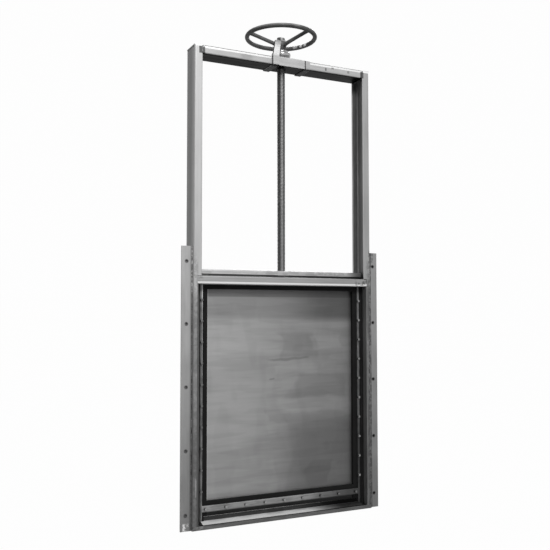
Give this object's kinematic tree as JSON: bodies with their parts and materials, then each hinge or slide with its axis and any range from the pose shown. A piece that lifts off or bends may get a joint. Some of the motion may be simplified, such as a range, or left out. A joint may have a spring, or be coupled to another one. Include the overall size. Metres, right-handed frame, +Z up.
{
  "type": "sluice gate",
  "caption": "Stainless wall penstock: folded channel frame with anchor flanges, sealed sliding leaf and a rising screwed stem worked by a dished handwheel.",
  "frame": {"origin": "on the gate's centre line, in the wall plane of the anchor flanges' back faces, at the flat underside of the sill", "axes": "+X across the gate to the right as seen from the face with the handwheel bracket, +Y through the wall, +Z up along the stem"},
  "size_m": [1.086, 0.369, 2.4265],
  "materials": {
    "frame_steel": "pickled mill finish with dull weld seams",
    "leaf_steel": "dull mill finish with cloudy bands",
    "stem_steel": "rolled thread, greased",
    "cast_iron": "rubbed bright on the rim",
    "nut_bronze": "turned, dulled",
    "seal_rubber": "matt black",
    "guide_plastic": "matt black"
  },
  "bodies": {
    "frame": {"left_post": "frame_steel", "left_post_cap": "frame_steel", "left_anchor_flange": "frame_steel", "left_seal_angle": "frame_steel", "left_clamp_strip": "frame_steel", "left_seal": "seal_rubber", "left_guide_strip": "guide_plastic", "right_post": "frame_steel", "right_post_cap": "frame_steel", "right_anchor_flange": "frame_steel", "right_seal_angle": "frame_steel", "right_clamp_strip": "frame_steel", "right_seal": "seal_rubber", "right_guide_strip": "guide_plastic", "sill_channel": "frame_steel", "sill_ledge": "frame_steel", "bottom_seal_plate": "frame_steel", "transom": "frame_steel", "top_clamp_strip": "frame_steel", "bottom_clamp_strip": "frame_steel", "head_beam": "frame_steel", "drive_bracket": "frame_steel", "top_seal": "seal_rubber", "bottom_seal": "seal_rubber", "bearing_housing": "cast_iron", "bearing_cap": "cast_iron"},
    "wheel": {"handwheel": "cast_iron", "stem_nut": "nut_bronze", "lock_nut": "stem_steel"},
    "leaf": {"leaf_plate": "leaf_steel", "leaf_beam": "leaf_steel", "left_leaf_edge_bar": "leaf_steel", "right_leaf_edge_bar": "leaf_steel", "leaf_rib_1": "leaf_steel", "leaf_rib_2": "leaf_steel", "leaf_rib_3": "leaf_steel", "leaf_rib_4": "leaf_steel", "stem_block": "stem_steel", "stem": "stem_steel"}
  },
  "joints": [
    {"name": "wheel_turn", "type": "hinge", "parent": "frame", "child": "wheel", "pos_m": [0, 0.035, 2.377], "axis": [0, 0, 1], "range_deg": [0, 51428.57]},
    {"name": "leaf_lift", "type": "slide", "parent": "frame", "child": "leaf", "axis": [0, 0, 1], "range_m": [0, 1]}
  ],
  "couplings": [
    {"joint": "leaf_lift", "follows": "wheel_turn", "m_per_rad": 0.0011141}
  ]
}
